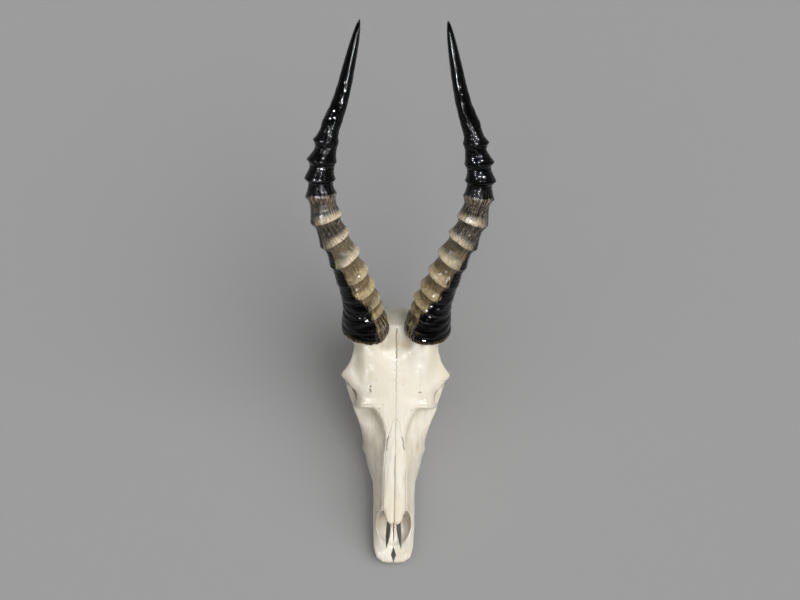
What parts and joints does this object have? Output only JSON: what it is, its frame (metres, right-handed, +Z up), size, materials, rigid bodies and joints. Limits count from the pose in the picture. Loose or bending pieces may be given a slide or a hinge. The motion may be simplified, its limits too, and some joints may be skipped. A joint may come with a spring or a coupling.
{
  "type": "polished blesbok skull",
  "caption": "Cleaned and polished blesbok skull without its lower jaw, with ringed, back-swept black and cream horns, lying on its cheek teeth and neck prongs.",
  "frame": {"origin": "middle of the bounding box's lower face, on the surface that the skull lies on", "axes": "+Z up from that surface, -Y towards the tip of the muzzle, +X towards the animal's own left side"},
  "size_m": [0.2152, 0.5168, 0.3842],
  "materials": {
    "bone": "bleached cream bone, polished to a soft gloss",
    "horn": "black horn buffed to a high gloss, cream and tan on the inner front of the lower half",
    "enamel": "glossy ivory and tan tooth enamel"
  },
  "bodies": {
    "root": {"skull": "bone", "left_horn": "horn", "right_horn": "horn", "left_premolar_2": "enamel", "left_premolar_3": "enamel", "left_premolar_4": "enamel", "left_molar_1": "enamel", "left_molar_2": "enamel", "left_molar_3": "enamel", "right_premolar_2": "enamel", "right_premolar_3": "enamel", "right_premolar_4": "enamel", "right_molar_1": "enamel", "right_molar_2": "enamel", "right_molar_3": "enamel"}
  },
  "joints": []
}
